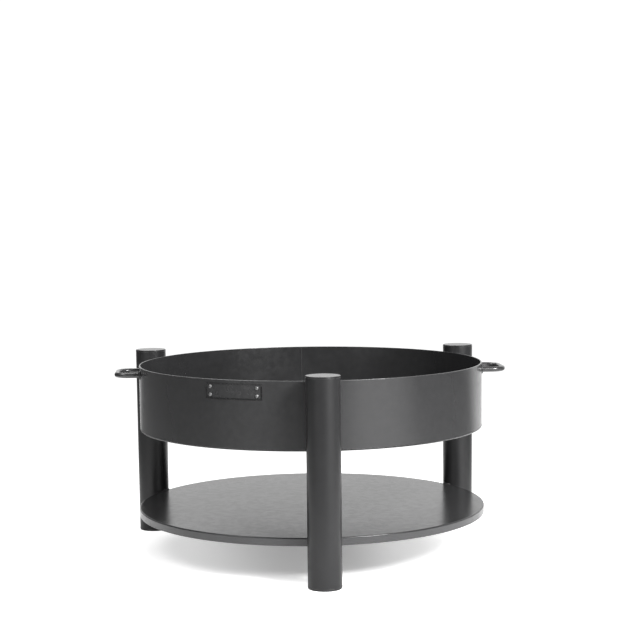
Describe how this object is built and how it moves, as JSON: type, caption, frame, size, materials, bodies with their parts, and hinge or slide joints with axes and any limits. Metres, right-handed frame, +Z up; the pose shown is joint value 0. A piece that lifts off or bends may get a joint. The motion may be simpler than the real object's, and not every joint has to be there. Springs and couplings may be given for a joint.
{
  "type": "fire bowl",
  "caption": "Round steel fire bowl with a flat floor and bar handles, lying loose in a stand of upright tube legs with a round shelf below for storage.",
  "frame": {"origin": "on the stand's upright axis, at floor level", "axes": "+Z up, -Y towards the front leg, +X to the right seen from the front; the handles lie on the X axis"},
  "size_m": [0.912, 0.883, 0.45],
  "materials": {
    "black_paint": "satin",
    "nameplate_paint": "satin",
    "rivet_steel": "satin"
  },
  "bodies": {
    "stand": {"leg_tube_front": "black_paint", "leg_tube_right": "black_paint", "leg_tube_left": "black_paint", "leg_cap_front": "black_paint", "leg_cap_right": "black_paint", "leg_cap_left": "black_paint", "leg_foot_front": "black_paint", "leg_foot_right": "black_paint", "leg_foot_left": "black_paint", "bowl_rest_front": "black_paint", "bowl_rest_right": "black_paint", "bowl_rest_left": "black_paint", "shelf_plate": "black_paint", "shelf_band": "black_paint"},
    "bowl": {"bowl_wall": "black_paint", "bowl_floor": "black_paint", "handle_right": "black_paint", "handle_left": "black_paint", "nameplate": "nameplate_paint", "nameplate_rivets": "rivet_steel"}
  },
  "joints": [
    {"name": "bowl_lift", "type": "slide", "parent": "stand", "child": "bowl", "axis": [0, 0, 1], "range_m": [0, 0.2]}
  ]
}
